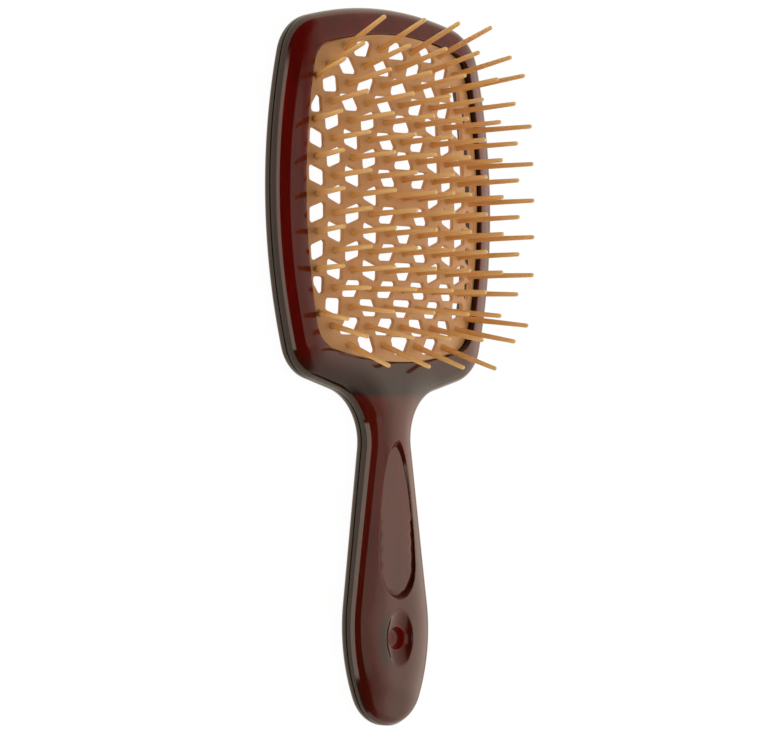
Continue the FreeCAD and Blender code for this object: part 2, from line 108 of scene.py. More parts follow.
# The brush's outline, clockwise from the top: arcs for the end, corner, side, lower corner,
# neck, flank and tip, each tangent to the next, and straight lines at the shoulder and flank.
def brushLoop(o):
    top = o["length"] / 2
    side = np.array([o["headWidth"] / 2 - o["sideRadius"], o["padCentreY"]])
    end = np.array([0, top - o["endRadius"]])
    corner = circlesMeet(side, o["sideRadius"] - o["cornerRadius"],
                         end, o["endRadius"] - o["cornerRadius"])
    neck = np.array([o["neckWidth"] / 2 + o["neckRadius"], o["neckY"]])
    slope = math.radians(o["shoulderAngle"])
    along = np.array([math.cos(slope), math.sin(slope)])
    inward = np.array([-math.sin(slope), math.cos(slope)])
    shoulder = neck + inward * o["neckRadius"]
    lowStart = shoulder + inward * o["shoulderCornerRadius"]
    reach = o["sideRadius"] - o["shoulderCornerRadius"]
    offset = lowStart - side
    half = offset @ along
    low = lowStart + along * (-half + math.sqrt(half ** 2 - offset @ offset + reach ** 2))
    tip = np.array([0, -top + o["tipRadius"]])
    flankX = o["handleWidth"] / 2 - o["flankRadius"]
    flankReach = o["flankRadius"] - o["tipRadius"]
    flank = np.array([flankX, tip[1] + math.sqrt(flankReach ** 2 - flankX ** 2)])
    between = neck - flank
    turn = (math.atan2(between[1], between[0])
            - math.acos((o["neckRadius"] + o["flankRadius"]) / np.linalg.norm(between)))
    across = np.array([math.cos(turn), math.sin(turn)])
    marks = [
        end + unit(corner - end) * o["endRadius"],
        side + unit(corner - side) * o["sideRadius"],
        side + unit(low - side) * o["sideRadius"],
        low - inward * o["shoulderCornerRadius"],
        shoulder,
        neck - across * o["neckRadius"],
        flank + across * o["flankRadius"],
        flank + unit(tip - flank) * o["flankRadius"],
    ]
    step = o["step"] / 4
    right = np.vstack([
        arcPoints(end, np.array([0, top]), marks[0], step),
        arcPoints(corner, marks[0], marks[1], step),
        arcPoints(side, marks[1], marks[2], step),
        arcPoints(low, marks[2], marks[3], step),
        arcPoints(neck, marks[4], marks[5], step),
        arcPoints(flank, marks[6], marks[7], step),
        arcPoints(tip, marks[7], np.array([0, -top]), step),
    ])
    return evenly(np.vstack([right, (right * [-1, 1])[::-1]]), o["step"])


# The ring's window, clockwise from the top: bowed sides and ends with round corners.
def windowLoop(w, centreY):
    side = np.array([w["width"] / 2 - w["sideRadius"], 0.0])
    end = np.array([0, w["length"] / 2 - w["endRadius"]])
    corner = circlesMeet(side, w["sideRadius"] - w["cornerRadius"],
                         end, w["endRadius"] - w["cornerRadius"])
    high = end + unit(corner - end) * w["endRadius"]
    right = side + unit(corner - side) * w["sideRadius"]
    step = w["step"] / 4
    quarter = np.vstack([
        arcPoints(end, np.array([0, w["length"] / 2]), high, step),
        arcPoints(corner, high, right, step),
        arcPoints(side, right, np.array([w["width"] / 2, 0]), step),
    ])
    half = np.vstack([quarter, (quarter * [1, -1])[::-1]])
    return evenly(np.vstack([half, (half * [-1, 1])[::-1]]), w["step"]) + [0, centreY]


# Unit vectors that point into a clockwise loop: the chord through both neighbours, turned.
def inwardNormals(loop):
    chord = np.roll(loop, -1, axis=0) - np.roll(loop, 1, axis=0)
    chord /= np.linalg.norm(chord, axis=1)[:, None]
    return np.stack([chord[:, 1], -chord[:, 0]], 1)


# How far each point lies from a closed line: the least distance to any of its segments.
def distanceTo(points, loop):
    start = loop
    run = np.roll(loop, -1, axis=0) - loop
    best = np.full(len(points), np.inf)
    for part in np.array_split(np.arange(len(points)), max(1, len(points) // 400)):
        gap = points[part, None, :] - start[None]
        share = np.clip((gap * run).sum(2) / (run ** 2).sum(1), 0, 1)
        best[part] = np.linalg.norm(gap - share[..., None] * run, axis=2).min(1)
    return best


# Whether points lie inside a closed line: an odd number of crossings to the right.
def insideOf(points, loop):
    x0, y0 = loop[:, 0], loop[:, 1]
    x1, y1 = np.roll(x0, -1), np.roll(y0, -1)
    y = points[:, 1:2]
    spans = (y0 > y) != (y1 > y)
    with np.errstate(divide="ignore", invalid="ignore"):
        crossing = x0 + (y - y0) * (x1 - x0) / (y1 - y0)
    return (spans & (points[:, 0:1] < crossing)).sum(1) % 2 == 1


outline = brushLoop(outlineShape)
outlineInward = inwardNormals(outline)
window = windowLoop(windowShape, outlineShape["padCentreY"])
windowInward = inwardNormals(window)
print("outlines", len(outline), len(window))


def outlineAt(depth):
    return outline + outlineInward * depth


def windowAt(letOut):
    return window - windowInward * letOut


def withHeight(points, height):
    return np.column_stack([points, np.broadcast_to(height, len(points))])


# Collects blocks of points and faces, and makes them one closed mesh.
class Skin:
    def __init__(self):
        self.blocks = []
        self.faces = []
        self.count = 0

    def points(self, block):
        first = self.count
        self.blocks.append(np.asarray(block, float))
        self.count += len(block)
        return first

    # A band of quads through a stack of closed loops with the same number of points.
    def band(self, loops):
        size = len(loops[0])
        first = self.points(np.vstack(loops))
        ring = np.arange(size)
        after = np.roll(ring, -1)
        for level in range(len(loops) - 1):
            low, high = first + level * size, first + (level + 1) * size
            quads = np.stack([low + ring, low + after, high + after, high + ring], 1)
            self.faces += quads.tolist()

    # Flat triangles between closed loops and loose points, kept where the test says so,
    # and then lifted to a height that depends on the place.
    def fill(self, loops, loose, keep, height):
        flat, edges = [], []
        count = 0
        for loop in loops:
            flat.append(loop)
            ring = np.arange(len(loop)) + count
            edges += np.stack([ring, np.roll(ring, -1)], 1).tolist()
            count += len(loop)
        flat = np.vstack(flat + ([loose] if len(loose) else []))
        result = delaunay_2d_cdt([Vector(p) for p in flat.tolist()], edges, [], 0, 1e-7)
        places = np.array([tuple(p) for p in result[0]])
        triangles = np.array(result[2])
        middles = places[triangles].mean(1)
        triangles = triangles[keep(middles)]
        first = self.points(withHeight(places, height(places)))
        self.faces += (triangles + first).tolist()

    def make(self, name, material, weld=0.004, sharpAngle=38.0):
        points = np.vstack(self.blocks) * millimetre
        mesh = bpy.data.meshes.new(name)
        mesh.from_pydata(points.tolist(), [], self.faces)
        work = bmesh.new()
        work.from_mesh(mesh)
        bmesh.ops.remove_doubles(work, verts=work.verts, dist=weld * millimetre)
        loose = [v for v in work.verts if not v.link_faces]
        bmesh.ops.delete(work, geom=loose, context="VERTS")
        bmesh.ops.recalc_face_normals(work, faces=work.faces)
        limit = math.radians(sharpAngle)
        for face in work.faces:
            face.smooth = True
        for edge in work.edges:
            edge.smooth = edge.calc_face_angle(0) < limit
        openEdges = sum(1 for edge in work.edges if not edge.is_manifold)
        work.to_mesh(mesh)
        work.free()
        mesh.materials.append(material)
        piece = bpy.data.objects.new(name, mesh)
        bpy.context.scene.collection.objects.link(piece)
        print(name, len(mesh.polygons), "faces", openEdges, "open edges")
        return piece


# Node materials.

# An sRGB hex colour as the linear colour that the shader takes.
def linear(hexColour, alpha=1.0):
    parts = [int(hexColour[i:i + 2], 16) / 255 for i in (0, 2, 4)]
    return [p / 12.92 if p <= 0.04045 else ((p + 0.055) / 1.055) ** 2.4 for p in parts] + [alpha]


# Adds a node, sets what is named, and links what is given as (node, output).
def node(tree, kind, inputs=None, **settings):
    made = tree.nodes.new(kind)
    for key, value in settings.items():
        setattr(made, key, value)
    for key, value in (inputs or {}).items():
        socket = made.inputs[key]
        if isinstance(value, tuple) and len(value) == 2 and hasattr(value[0], "outputs"):
            tree.links.new(value[0].outputs[value[1]], socket)
        else:
            socket.default_value = value
    return made


def newMaterial(name):
    material = bpy.data.materials.new(name)
    material.use_nodes = True
    material.node_tree.nodes.clear()
    return material, material.node_tree


shellFinish = {
    # The plastic's own colour by place along the brush: tip, handle, neck, shoulder, ring, with
    # painted shade in a dark band at the shoulder. It changes sharply where the solid handle
    # ends and the ring's channel begins.
    "bodyPlaces": (-105.0, -60.0, -25.0, -9.6, -8.4, -2.0, 4.0, 10.0),
    "bodies": ("4c120b", "58170d", "60190f", "5c170d", "22130b", "32100a", "5a0e06", "640a04"),
    # Painted reflection: streaks toward this deeper red, stretched along the brush.
    "reflectionStreakDeep": "300301",
    "streakShare": 0.42,
    "streakWidth": 5.0,
    "streakStretch": 6.0,
    "streakRange": (0.35, 0.68),
    # Painted shade, dark walls: by how far the normal points up or down, and by distance from the seam.
    "paintedWallShade": "26140a",
    "wallTilt": (0.3, 0.6),
    "seamHeight": 3.5,
    "seamDark": (0.26, 0.5),
    # Painted light in the red hang hole's glow, and painted shade in the olive patch beside it.
    "holeGlow": "841303",
    "glowStrength": 0.02,
    "holeY": -79.5,
    "holeReach": 3.7,
    "holeFade": 0.4,
    "patchShade": "1b1a10",
    "patchShare": 0.8,
    "patchReach": (5.5, 10.5),
    "patchSide": (-5.0, -1.0),
    "roughness": 0.07,
    "ior": 1.5,
    "rippleSize": 2.4,
    "rippleStrength": 0.03,
    "rippleHeight": 0.2,
    "scuffSize": 0.5,
    "scuffRange": (0.5, 0.8),
    "scuffRough": 0.08,
    "scatter": 0.4,
    "scatterReach": 3.0,
    "scatterTint": (1.0, 0.12, 0.05),
}


# Tinted transparent plastic, injection moulded in a polished tool: a deep red body under a
# hard gloss, with painted reflection in darker streaks along the brush. It isn't see-through
# here: its look is painted light and shade, and the brown handle, dark walls, olive patch
# and red hole are colours by place and by the surface's own tilt.
def shellMaterial(f):
    material, tree = newMaterial("tintedPlasticPolishedMould")
    place = node(tree, "ShaderNodeTexCoord")
    # Painted reflection: noise stretched along the brush darkens the body in streaks.
    stretchedPlace = node(tree, "ShaderNodeMapping", {
        "Vector": (place, "Object"), "Scale": (1, 1 / f["streakStretch"], 1)})
    streak = node(tree, "ShaderNodeTexNoise", {
        "Vector": (stretchedPlace, 0), "Scale": 1 / (f["streakWidth"] * millimetre), "Detail": 4.0})
    streakShare = node(tree, "ShaderNodeMapRange", {
        "Value": (streak, 0), "From Min": f["streakRange"][0], "From Max": f["streakRange"][1]})
    parts = node(tree, "ShaderNodeSeparateXYZ", {0: (place, "Object")})
    tipReach = outlineShape["length"] / 2
    alongBrush = node(tree, "ShaderNodeMapRange", {
        "Value": (parts, 1), "From Min": -tipReach * millimetre,
        "From Max": tipReach * millimetre})
    body = node(tree, "ShaderNodeValToRGB", {0: (alongBrush, 0)})
    stops = body.color_ramp.elements
    while len(stops) < len(f["bodies"]):
        stops.new(0.5)
    for stop, y, hexColour in zip(stops, f["bodyPlaces"], f["bodies"]):
        stop.position = (y + tipReach) / (2 * tipReach)
        stop.color = linear(hexColour)
    streaks = node(tree, "ShaderNodeMath", {
        0: (streakShare, 0), 1: f["streakShare"]}, operation="MULTIPLY")
    streaked = node(tree, "ShaderNodeMix", {
        0: (streaks, 0), 6: (body, 0), 7: linear(f["reflectionStreakDeep"])}, data_type="RGBA")
    # Painted shade: upright walls, seen through more plastic, and the seam's groove are coloured nearly
    # black.
    facing = node(tree, "ShaderNodeNewGeometry")
    upright = node(tree, "ShaderNodeSeparateXYZ", {0: (facing, "Normal")})
    level = node(tree, "ShaderNodeMath", {0: (upright, 2)}, operation="ABSOLUTE")
    levelShare = node(tree, "ShaderNodeMapRange", {
        "Value": (level, 0), "From Min": f["wallTilt"][0], "From Max": f["wallTilt"][1]})
    aboveSeam = node(tree, "ShaderNodeMath", {
        0: (parts, 2), 1: f["seamHeight"] * millimetre}, operation="SUBTRACT")
    fromSeam = node(tree, "ShaderNodeMath", {0: (aboveSeam, 0)}, operation="ABSOLUTE")
    seamShare = node(tree, "ShaderNodeMapRange", {
        "Value": (fromSeam, 0), "From Min": f["seamDark"][0] * millimetre,
        "From Max": f["seamDark"][1] * millimetre})
    bright = node(tree, "ShaderNodeMath", {
        0: (levelShare, 0), 1: (seamShare, 0)}, operation="MULTIPLY")
    walled = node(tree, "ShaderNodeMix", {
        0: (bright, 0), 6: linear(f["paintedWallShade"]), 7: (streaked, 2)}, data_type="RGBA")
    beside = node(tree, "ShaderNodeCombineXYZ", {0: (parts, 0), 1: (parts, 1)})
    fromHole = node(tree, "ShaderNodeVectorMath", {
        0: (beside, 0), 1: (0, f["holeY"] * millimetre, 0)}, operation="DISTANCE")
    # Painted shade for the bore seen through the plastic: a soft olive patch on its left.
    nearHole = node(tree, "ShaderNodeMapRange", {
        "Value": (fromHole, 1), "From Min": f["patchReach"][0] * millimetre,
        "From Max": f["patchReach"][1] * millimetre,
        "To Min": 1.0, "To Max": 0.0}, interpolation_type="SMOOTHSTEP")
    leftOfHole = node(tree, "ShaderNodeMapRange", {
        "Value": (parts, 0), "From Min": f["patchSide"][0] * millimetre,
        "From Max": f["patchSide"][1] * millimetre,
        "To Min": f["patchShare"], "To Max": 0.0}, interpolation_type="SMOOTHSTEP")
    patch = node(tree, "ShaderNodeMath", {
        0: (nearHole, 0), 1: (leftOfHole, 0)}, operation="MULTIPLY")
    tint = node(tree, "ShaderNodeMix", {
        0: (patch, 0), 6: (walled, 2), 7: linear(f["patchShade"])}, data_type="RGBA")
    # Painted light: a red glow in the hang hole's bore, as base colour and a faint emission.
    glowShare = node(tree, "ShaderNodeMapRange", {
        "Value": (fromHole, 1), "From Min": (f["holeReach"] - f["holeFade"]) * millimetre,
        "From Max": f["holeReach"] * millimetre, "To Min": 1.0, "To Max": 0.0})
    colour = node(tree, "ShaderNodeMix", {
        0: (glowShare, 0), 6: (tint, 2), 7: linear(f["holeGlow"])}, data_type="RGBA")
    glow = node(tree, "ShaderNodeMath", {
        0: (glowShare, 0), 1: f["glowStrength"]}, operation="MULTIPLY")
    ripple = node(tree, "ShaderNodeTexNoise", {
        "Vector": (place, "Object"), "Scale": 1 / (f["rippleSize"] * millimetre), "Detail": 1.0})
    bump = node(tree, "ShaderNodeBump", {
        "Height": (ripple, 0), "Strength": f["rippleStrength"],
        "Distance": f["rippleHeight"] * millimetre})
    scuff = node(tree, "ShaderNodeTexNoise", {
        "Vector": (place, "Object"), "Scale": 1 / (f["scuffSize"] * millimetre), "Detail": 4.0})
    rough = node(tree, "ShaderNodeMapRange", {
        "Value": (scuff, 0), "From Min": f["scuffRange"][0], "From Max": f["scuffRange"][1],
        "To Min": f["roughness"], "To Max": f["roughness"] + f["scuffRough"]})
    surface = node(tree, "ShaderNodeBsdfPrincipled", {
        "Base Color": (colour, 2), "Roughness": (rough, 0), "Normal": (bump, 0),
        "IOR": f["ior"], "Subsurface Weight": f["scatter"],
        "Subsurface Scale": f["scatterReach"] * millimetre,
        "Subsurface Radius": f["scatterTint"], "Emission Color": linear(f["holeGlow"]),
        "Emission Strength": (glow, 0)})
    node(tree, "ShaderNodeOutputMaterial", {"Surface": (surface, 0)})
    return material


padFinish = {
    "net": ("c28c59", "cd9e6c"),
    "pins": ("d49b56", "dea966"),
    "pinTips": "efc98b",
    "tipHeights": (14.0, 34.0),
    "roughness": 0.42,
    "ior": 1.5,
    "cloudSize": 9.0,
    "grainSize": 0.35,
    "grainStrength": 0.03,
    "grainHeight": 0.05,
    "scatter": 0.35,
    "scatterReach": 1.2,
    "scatterTint": (1.0, 0.5, 0.25),
}


# Flexible nylon, injection moulded in a finely blasted tool: satin, warm tan, a little
# translucent, with a very fine grain. It clouds between two colours.
def padMaterial(name, f, clouds, tip=None):
    material, tree = newMaterial(name)
    place = node(tree, "ShaderNodeTexCoord")
    cloud = node(tree, "ShaderNodeTexNoise", {
        "Vector": (place, "Object"), "Scale": 1 / (f["cloudSize"] * millimetre), "Detail": 3.0})
    tint = node(tree, "ShaderNodeMix", {
        0: (cloud, 0), 6: linear(clouds[0]), 7: linear(clouds[1])}, data_type="RGBA")
    if tip:
        # Slim pin ends pass more light, so they look paler.
        parts = node(tree, "ShaderNodeSeparateXYZ", {0: (place, "Object")})
        tipShare = node(tree, "ShaderNodeMapRange", {
            "Value": (parts, 2), "From Min": f["tipHeights"][0] * millimetre,
            "From Max": f["tipHeights"][1] * millimetre})
        tint = node(tree, "ShaderNodeMix", {
            0: (tipShare, 0), 6: (tint, 2), 7: linear(tip)}, data_type="RGBA")
    grain = node(tree, "ShaderNodeTexNoise", {
        "Vector": (place, "Object"), "Scale": 1 / (f["grainSize"] * millimetre), "Detail": 2.0})
    bump = node(tree, "ShaderNodeBump", {
        "Height": (grain, 0), "Strength": f["grainStrength"],
        "Distance": f["grainHeight"] * millimetre})
    surface = node(tree, "ShaderNodeBsdfPrincipled", {
        "Base Color": (tint, 2), "Roughness": f["roughness"], "Normal": (bump, 0),
        "IOR": f["ior"], "Subsurface Weight": f["scatter"],
        "Subsurface Scale": f["scatterReach"] * millimetre,
        "Subsurface Radius": f["scatterTint"]})
    node(tree, "ShaderNodeOutputMaterial", {"Surface": (surface, 0)})
    return material


shellPlastic = shellMaterial(shellFinish)
netPlastic = padMaterial("satinNylonNet", padFinish, padFinish["net"])
pinPlastic = padMaterial("satinNylonPins", padFinish, padFinish["pins"], padFinish["pinTips"])
print("materials", len(bpy.data.materials))

# The two halves of the ring and handle.

halves = {
    "seam": 3.5,
    "seamGap": 0.04,
    "grooveDepth": 0.3,
    "grooveHalf": 0.24,
    "mouthDepth": 0.06,
    "mouthShare": 0.7,
    "innerDepth": 0.8,
    "bandBeyond": 0.35,
    "lipOuts": (1.3, 0.9, 0.6),
    "lipRound": 0.22,
    "lipUnder": 7.6,
    "lipEase": 0.15,
    "channelReach": 4.0,
    "ringBackRound": 2.3,
    "handleBackRound": 2.8,
    "backBlend": (-20.0, 5.0),
    "backWindow": 1.5,
    "windowRound": 0.6,
    "railTop": 4.45,
    "railWall": 1.8,
    "railRound": 0.2,
    "floor": 2.0,
    "gridStep": 1.1,
    "gridClear": 0.55,
    "backGridStep": 2.5,
    "backGridClear": 0.9,
}

# The front's section: an upright wall up to its foot, a bevel at the edge's turn, a round
# edge down to the crown's turn, and a crown that fades to level over its reach. Turns are in
# degrees from level. By place along the brush, from the tip over the neck to the ring.
frontSection = {
    "places": (-105.0, -80.0, -57.0, -22.0, -4.0),
    "foot": (4.87, 5.2, 5.4, 5.96, 4.64),
    "bevel": (1.1, 1.1, 1.1, 1.1, 0.3),
    "edgeTurn": (62.0, 62.0, 62.0, 62.0, 75.0),
    "round": (3.5, 3.55, 3.55, 3.8, 6.15),
    "crownReach": (9.0, 9.5, 9.5, 8.0, 7.4),
    "crownTurn": 24.0,
    "leastReach": 0.5,
    "easing": 9.0,
    "gridReach": 125.0,
    "gridStep": 0.5,
    "spanInset": 0.5,
    "spanCount": 200,
}

# The bare recess: an egg whose floor is smaller than its rim and lies in one plane.
labelShape = {
    "wideY": -58.0,
    "rim": {"halfWidth": 7.35, "above": 36.3, "below": 10.2},
    "floor": {"halfWidth": 7.14, "above": 34.6, "below": 9.2},
    "floorHeight": 8.72,
    "grooveWidth": 0.27,
    "grooveDepth": 0.2,
    "taperAlong": 1.8,
    "taperAcross": 0.55,
    "rimOuts": (0.5, 0.2),
    # The wall as shares of the way in and of the way down.
    "wall": ((0.0, 0.03), (0.15, 0.12), (0.4, 0.4), (0.8, 0.85), (1.0, 1.0)),
    "gridStep": 2.2,
    "gridClear": 0.6,
    "count": 150,
}

scoopShape = {
    "centreY": -79.5,
    "halfWidth": 5.3,
    "halfLength": 8.4,
    "depth": 2.0,
    "sideEase": 0.55,
    "endEase": 1.5,
    "holeRadius": 3.2,
    "holeRound": 0.35,
    "holeBackRound": 0.4,
    "rimOuts": (0.9, 0.45, 0.2),
    "rimEase": 0.06,
    "shares": (0.02, 0.06, 0.12, 0.2, 0.3, 0.42, 0.56, 0.72, 0.86, 1.0),
    "count": 72,
}

# The distance from the middle line to the outline, by place along the handle.
spanY = np.linspace(frontSection["spanInset"] - outlineShape["length"] / 2, 0,
                    frontSection["spanCount"])
spanDepth = distanceTo(np.column_stack([spanY * 0, spanY]), outline)

# The even places and the weights of the running mean that eases the section.
gridReach, gridStep = frontSection["gridReach"], frontSection["gridStep"]
placeGrid = np.arange(-gridReach, gridReach + gridStep, gridStep)
placeHump = np.hanning(int(2 * frontSection["easing"] / gridStep) + 1)


# The section's sizes at places along the brush, eased by a running mean.
def sectionAt(y):
    sizes = []
    for name in ("foot", "bevel", "edgeTurn", "round", "crownReach"):
        plain = np.interp(placeGrid, frontSection["places"], frontSection[name])
        eased = np.convolve(plain, placeHump / placeHump.sum(), "same")
        sizes.append(np.interp(y, placeGrid, eased))
    return sizes


# Height of the front face at points that lie a depth in from the outline.
def frontHeight(points, depth):
    foot, bevel, edgeTurn, radius, crownReach = sectionAt(points[:, 1])
    start, end = np.radians(edgeTurn), math.radians(frontSection["crownTurn"])
    bevelDepth = bevel * np.cos(start)
    inward = np.clip(np.sin(start) - (depth - bevelDepth) / radius, math.sin(end), np.sin(start))
    edge = (foot + np.minimum(depth, bevelDepth) * np.tan(start)
            + radius * (np.sqrt(1 - inward ** 2) - np.cos(start)))
    joinDepth = bevelDepth + radius * (np.sin(start) - math.sin(end))
    room = np.interp(points[:, 1], spanY, spanDepth) - joinDepth
    reach = np.clip(room, frontSection["leastReach"], crownReach)
    beyond = np.clip(depth - joinDepth, 0, reach)
    return edge + math.tan(end) * (beyond - beyond ** 2 / (2 * reach))


def frontFace(points):
    flat = points[:, :2]
    return frontHeight(flat, distanceTo(flat, outline))


# An egg-shaped loop, clockwise from its top. Below its widest place it is half an ellipse,
# and above it a half that tapers more quickly.
def labelLoop(shape, egg, letOut=0.0):
    angle = np.linspace(0, 2 * math.pi, shape["count"], endpoint=False)
    along, across = np.cos(angle), np.sin(angle)
    taper = np.sign(across) * (1 - np.abs(along) ** shape["taperAlong"]) ** shape["taperAcross"]
    x = np.where(along > 0, taper, across) * (egg["halfWidth"] + letOut)
    y = shape["wideY"] + along * np.where(along > 0, egg["above"], egg["below"]) + along * letOut
    return np.column_stack([x, y])


# A loop between the scoop's ellipse at 0 and the hang hole's circle at 1.
def scoopLoop(shape, share, letOut=0.0):
    angles = np.linspace(0, -2 * math.pi, shape["count"], endpoint=False)
    turn = np.stack([np.cos(angles), np.sin(angles)], 1)
    ellipse = turn * [shape["halfWidth"] + letOut, shape["halfLength"] + letOut]
    circle = turn * (shape["holeRadius"] + shape["holeRound"])
    return ellipse * (1 - share) + circle * share + [0, shape["centreY"]]


# Height of the scoop: the face less a dish with crisp sides and ends that ease in.
def scoopHeight(shape, points):
    x = points[:, 0] / shape["halfWidth"]
    y = (points[:, 1] - shape["centreY"]) / shape["halfLength"]
    radius = np.clip(x ** 2 + y ** 2, 1e-6, 1)
    ease = shape["sideEase"] + (shape["endEase"] - shape["sideEase"]) * y ** 2 / radius
    return frontFace(points) - shape["depth"] * (1 - radius) ** ease


# Loose points on a square grid, at least a clearance away from every loop given.
def gridInside(outer, holes, step, clearance):
    low, high = outer.min(0), outer.max(0)
    x, y = np.meshgrid(np.arange(low[0], high[0], step), np.arange(low[1], high[1], step))
    x = x + (np.arange(len(x)) % 2)[:, None] * step / 2
    points = np.column_stack([x.ravel(), y.ravel()])
    points = points[insideOf(points, outer)]
    points = points[distanceTo(points, outer) > clearance]
    for hole in holes:
        points = points[~insideOf(points, hole)]
        points = points[distanceTo(points, hole) > clearance]
    return points


# A test for fill: inside one loop and outside all the others.
def betweenLoops(outer, holes):
    def keep(middles):
        kept = insideOf(middles, outer)
        for hole in holes:
            kept &= ~insideOf(middles, hole)
        return kept
    return keep


def makeFront():
    h = halves
    skin = Skin()
    seam = h["seam"] + h["seamGap"] / 2
    innerLoop = outlineAt(h["innerDepth"])
    loops = [
        withHeight(innerLoop, seam),
        withHeight(outlineAt(h["grooveDepth"]), seam),
        withHeight(outlineAt(h["mouthDepth"]), seam + h["grooveHalf"] * h["mouthShare"]),
    ]
    # The edge from the groove to the crown by equal turns, then on to the band's end.
    grooveTop = seam + h["grooveHalf"]
    _, bevel, edgeTurn, radius, _ = sectionAt(outline[:, 1])
    start, end = np.radians(edgeTurn), math.radians(frontSection["crownTurn"])
    depths = [bevel * np.cos(start) * s for s in (0.0, 0.12, 0.5, 0.88, 1.0)]
    turns = [start + (end - start) * s for s in np.linspace(0, 1, 13)[1:]]
    depths += [depths[4] + radius * (np.sin(start) - np.sin(turn)) for turn in turns]
    depths += [depths[-1] + h["bandBeyond"] * s for s in (0.5, 1.0)]
    loops.append(withHeight(outline, grooveTop))
    for depth in depths:
        points = outlineAt(depth[:, None])
        loops.append(withHeight(points, frontHeight(points, depth)))
    skin.band(loops)

    # The ring's lip: face, round edge, inner wall, underside and channel wall.
    lip = []
    for letOut in (*h["lipOuts"], h["lipRound"]):
        points = windowAt(letOut)
        lip.append(withHeight(points, frontFace(points)))
    edge = lip[-1][:, 2]
    for angle in np.radians([22.5, 45, 67.5, 90]):
        letOut = h["lipRound"] * (1 - math.sin(angle))
        lip.append(withHeight(windowAt(letOut), edge - h["lipRound"] * (1 - math.cos(angle))))
    for letOut, height in ((0, h["lipUnder"] + h["lipEase"]), (h["lipEase"], h["lipUnder"]),
                           (h["channelReach"], h["lipUnder"]), (h["channelReach"], seam)):
        lip.append(withHeight(windowAt(letOut), height))
    skin.band(lip)

    # The bare recess: an eased rim, a steep wall, a fine groove at its foot and a flat floor.
    s = labelShape
    rim, base = labelLoop(s, s["rim"]), labelLoop(s, s["floor"])
    label = []
    for letOut in s["rimOuts"]:
        points = labelLoop(s, s["rim"], letOut)
        label.append(withHeight(points, frontFace(points)))
    rimHeight = frontFace(rim)
    wallFoot = s["floorHeight"] - s["grooveDepth"]
    for share, drop in s["wall"]:
        loop = rim * (1 - share) + base * share
        label.append(withHeight(loop, rimHeight * (1 - drop) + wallFoot * drop))
    floorLoop = labelLoop(s, s["floor"], -s["grooveWidth"])
    label.append(withHeight(floorLoop, s["floorHeight"]))
    skin.band(label)
    skin.fill([floorLoop], gridInside(floorLoop, [], s["gridStep"], s["gridClear"]),
              betweenLoops(floorLoop, []), lambda p: np.full(len(p), s["floorHeight"]))

    # The scoop and the front half of the hang hole.
    c = scoopShape
    dish = []
    for letOut in c["rimOuts"]:
        points = scoopLoop(c, 0, letOut)
        dish.append(withHeight(points, frontFace(points)))
    points = scoopLoop(c, 0, c["rimEase"])
    dish.append(withHeight(points, frontFace(points) - c["rimEase"]))
    for share in c["shares"]:
        points = scoopLoop(c, share)
        dish.append(withHeight(points, scoopHeight(c, points)))
    edge = dish[-1]
    middle = np.array([0, c["centreY"]])
    outward = (edge[:, :2] - middle) / (c["holeRadius"] + c["holeRound"])
    for angle in np.radians([30, 60, 90]):
        radius = c["holeRadius"] + c["holeRound"] * (1 - math.sin(angle))
        dish.append(withHeight(middle + outward * radius,
                               edge[:, 2] - c["holeRound"] * (1 - math.cos(angle))))
    dish.append(withHeight(middle + outward * c["holeRadius"], seam))
    skin.band(dish)

    bandLoop = outlineAt(depths[-1][:, None])
    holes = [windowAt(h["lipOuts"][0]), labelLoop(s, s["rim"], s["rimOuts"][0]),
             scoopLoop(c, 0, c["rimOuts"][0])]
    skin.fill([bandLoop] + holes, gridInside(bandLoop, holes, h["gridStep"], h["gridClear"]),
              betweenLoops(bandLoop, holes), frontFace)
    under = [windowAt(h["channelReach"]), middle + outward * c["holeRadius"]]
    skin.fill([innerLoop] + under, np.zeros((0, 2)), betweenLoops(innerLoop, under),
              lambda p: np.full(len(p), seam))
    return skin.make("frontHalf", shellPlastic)


